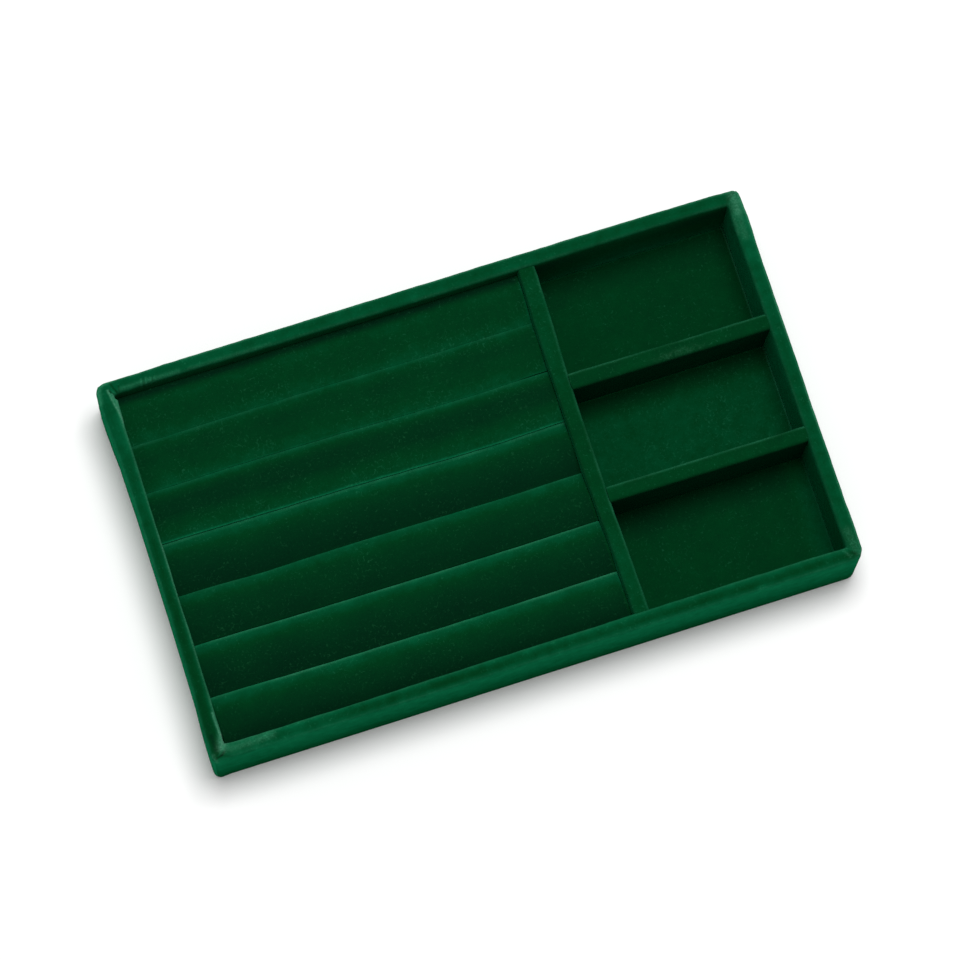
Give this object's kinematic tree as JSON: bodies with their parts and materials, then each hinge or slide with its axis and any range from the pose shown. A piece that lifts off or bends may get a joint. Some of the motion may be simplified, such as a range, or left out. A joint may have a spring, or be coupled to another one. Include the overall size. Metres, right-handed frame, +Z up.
{
  "type": "jewelry tray",
  "caption": "Shallow velvet-wrapped tray with a lift-out insert of padded ring rolls on the left and open compartments on the right.",
  "frame": {"origin": "under the middle of the tray, on the surface that it stands on", "axes": "+X along the length, from the ring rolls to the compartments; +Y across, to the back of the tray; +Z up"},
  "size_m": [0.255, 0.151, 0.035],
  "materials": {
    "velvet": "matte",
    "lining": "matte",
    "foam": "matte",
    "card": "matte",
    "fibreboard": "matte"
  },
  "bodies": {
    "tray": {"base_board": "fibreboard", "bottom_lining": "lining", "front_wall_board": "fibreboard", "front_wall_velvet": "velvet", "back_wall_board": "fibreboard", "back_wall_velvet": "velvet", "left_wall_board": "fibreboard", "left_wall_velvet": "velvet", "right_wall_board": "fibreboard", "right_wall_velvet": "velvet", "long_divider_board": "fibreboard", "long_divider_velvet": "velvet", "back_cross_divider_board": "fibreboard", "back_cross_divider_velvet": "velvet", "front_cross_divider_board": "fibreboard", "front_cross_divider_velvet": "velvet", "back_floor_card": "card", "back_floor_velvet": "velvet", "middle_floor_card": "card", "middle_floor_velvet": "velvet", "front_floor_card": "card", "front_floor_velvet": "velvet"},
    "ring_pad": {"ring_pad_card": "card", "ring_roll_1_foam": "foam", "ring_roll_1_velvet": "velvet", "ring_roll_2_foam": "foam", "ring_roll_2_velvet": "velvet", "ring_roll_3_foam": "foam", "ring_roll_3_velvet": "velvet", "ring_roll_4_foam": "foam", "ring_roll_4_velvet": "velvet", "ring_roll_5_foam": "foam", "ring_roll_5_velvet": "velvet", "ring_roll_6_foam": "foam", "ring_roll_6_velvet": "velvet", "ring_roll_7_foam": "foam", "ring_roll_7_velvet": "velvet"}
  },
  "joints": [
    {"name": "ring_pad_lift", "type": "slide", "parent": "tray", "child": "ring_pad", "axis": [0, 0, 1], "range_m": [0, 0.036]}
  ]
}
